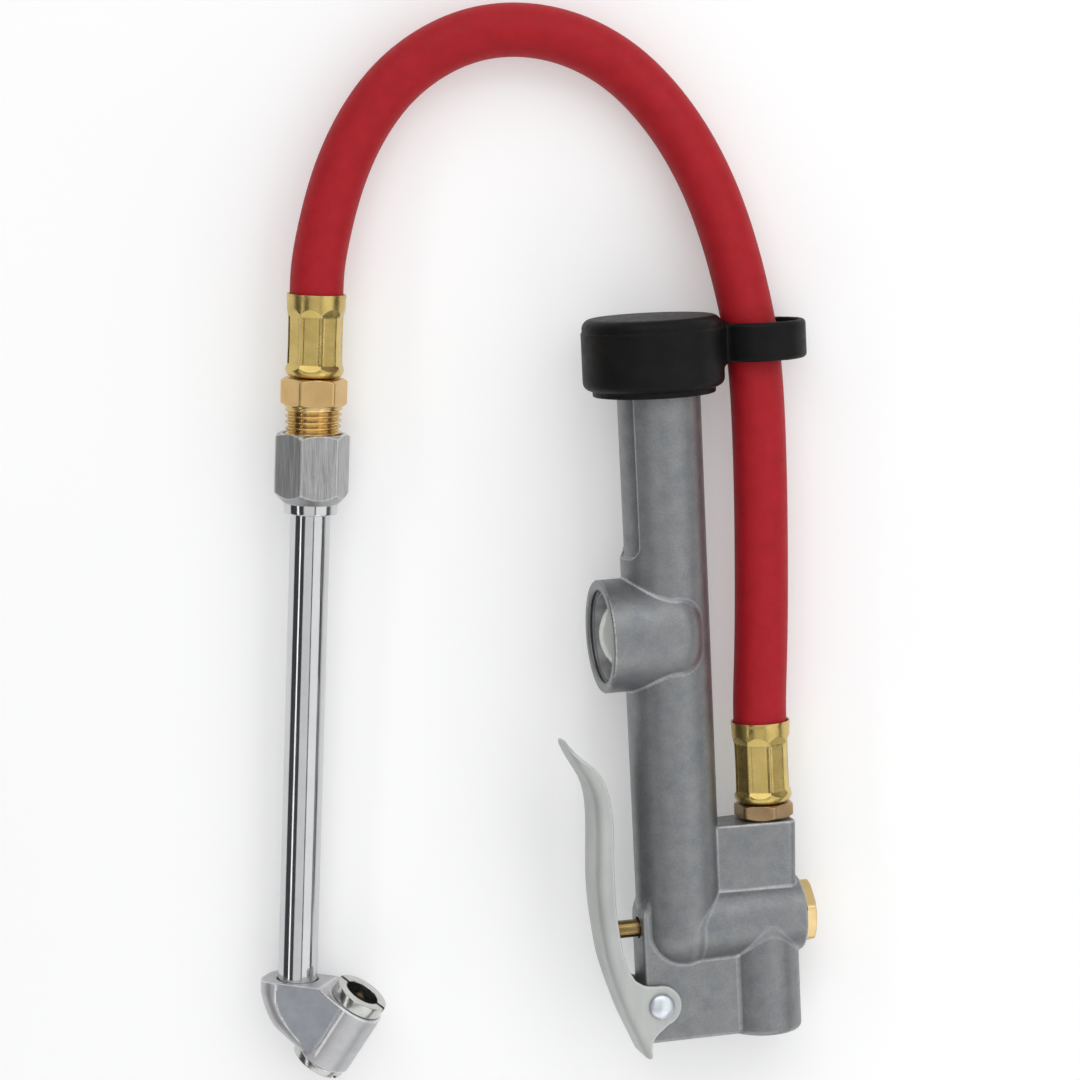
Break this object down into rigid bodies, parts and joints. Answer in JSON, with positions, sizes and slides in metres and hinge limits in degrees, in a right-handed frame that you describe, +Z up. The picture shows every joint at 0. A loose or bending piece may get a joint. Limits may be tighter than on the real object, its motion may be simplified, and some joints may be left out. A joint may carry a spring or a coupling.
{
  "type": "portable tire inflator",
  "caption": "Hand-held tire inflator with a squeeze-lever air valve, a sliding gauge behind a window, a short rubber hose and a push-on chuck on a rigid pipe.",
  "frame": {"origin": "on the surface that the tool lies on, under the middle of its box, measured without the hose", "axes": "+Y runs from the inlet and the chuck's head towards the hose's arch, +Z points up from the surface, +X runs from the chuck towards the valve body"},
  "size_m": [0.1338, 0.2577, 0.0337],
  "materials": {
    "zinc_casting": "zinc alloy die casting, dull mottled grey",
    "plated_steel": "zinc-plated pressed sheet, satin",
    "bright_steel": "bright steel",
    "chrome": "chrome plate",
    "brass": "bright turned brass",
    "dark_brass": "dull brown brass",
    "black_rubber": "black rubber, satin",
    "red_rubber": "red rubber hose cover",
    "white_nylon": "white moulded plastic",
    "clear_acrylic": "clear moulded plastic"
  },
  "bodies": {
    "base": {"body_casting": "zinc_casting", "rubber_boot": "black_rubber", "gauge_end_plug": "dark_brass", "gauge_spring": "bright_steel", "window_lens": "clear_acrylic", "lens_ring": "zinc_casting", "lever_rivet": "bright_steel", "valve_seat": "brass", "valve_spring": "bright_steel", "valve_plug": "brass", "plug_seal": "black_rubber", "body_fitting": "dark_brass", "lower_ferrule": "brass", "lower_hose_end": "red_rubber", "hose": "red_rubber", "upper_hose_end": "red_rubber", "upper_ferrule": "brass", "hose_adapter": "brass", "hex_coupling": "chrome", "chuck_tube": "chrome", "chuck_head": "chrome", "front_cap": "chrome", "rear_cap": "chrome", "front_washer": "black_rubber", "rear_washer": "black_rubber", "foot_spring": "bright_steel"},
    "lever": {"lever": "plated_steel"},
    "valve_stem": {"push_pin": "brass", "pin_seal": "black_rubber", "valve_poppet": "black_rubber"},
    "gauge_piston": {"gauge_drum": "white_nylon", "piston_cup": "black_rubber"},
    "front_plunger": {"front_plunger": "brass"},
    "rear_plunger": {"rear_plunger": "brass"}
  },
  "joints": [
    {"name": "lever_hinge", "type": "hinge", "parent": "base", "child": "lever", "pos_m": [0.02791, -0.07403, 0.0176], "axis": [-0.242, -0.0046, -0.9703], "range_deg": [0, 7.5], "stiffness_Nm_per_rad": 2, "springref_deg": -8.59},
    {"name": "valve_slide", "type": "slide", "parent": "base", "child": "valve_stem", "axis": [0.9691, 0.0474, -0.2419], "range_m": [0, 0.0025], "deforming": ["valve_spring"]},
    {"name": "gauge_slide", "type": "slide", "parent": "base", "child": "gauge_piston", "axis": [-0.0471, 0.9989, 0.007], "range_m": [0, 0.04], "stiffness_N_per_m": 2800, "springref_m": -0.001, "deforming": ["gauge_spring"]},
    {"name": "front_foot_slide", "type": "slide", "parent": "base", "child": "front_plunger", "axis": [-0.518, -0.8364, -0.1794], "range_m": [0, 0.0015], "stiffness_N_per_m": 1500, "springref_m": -0.001, "deforming": ["foot_spring"]},
    {"name": "rear_foot_slide", "type": "slide", "parent": "base", "child": "rear_plunger", "axis": [0.518, 0.8364, 0.1794], "range_m": [0, 0.0015], "stiffness_N_per_m": 1500, "springref_m": -0.001, "deforming": ["foot_spring"]}
  ],
  "couplings": [
    {"joint": "valve_slide", "follows": "lever_hinge", "m_per_rad": 0.0181}
  ]
}
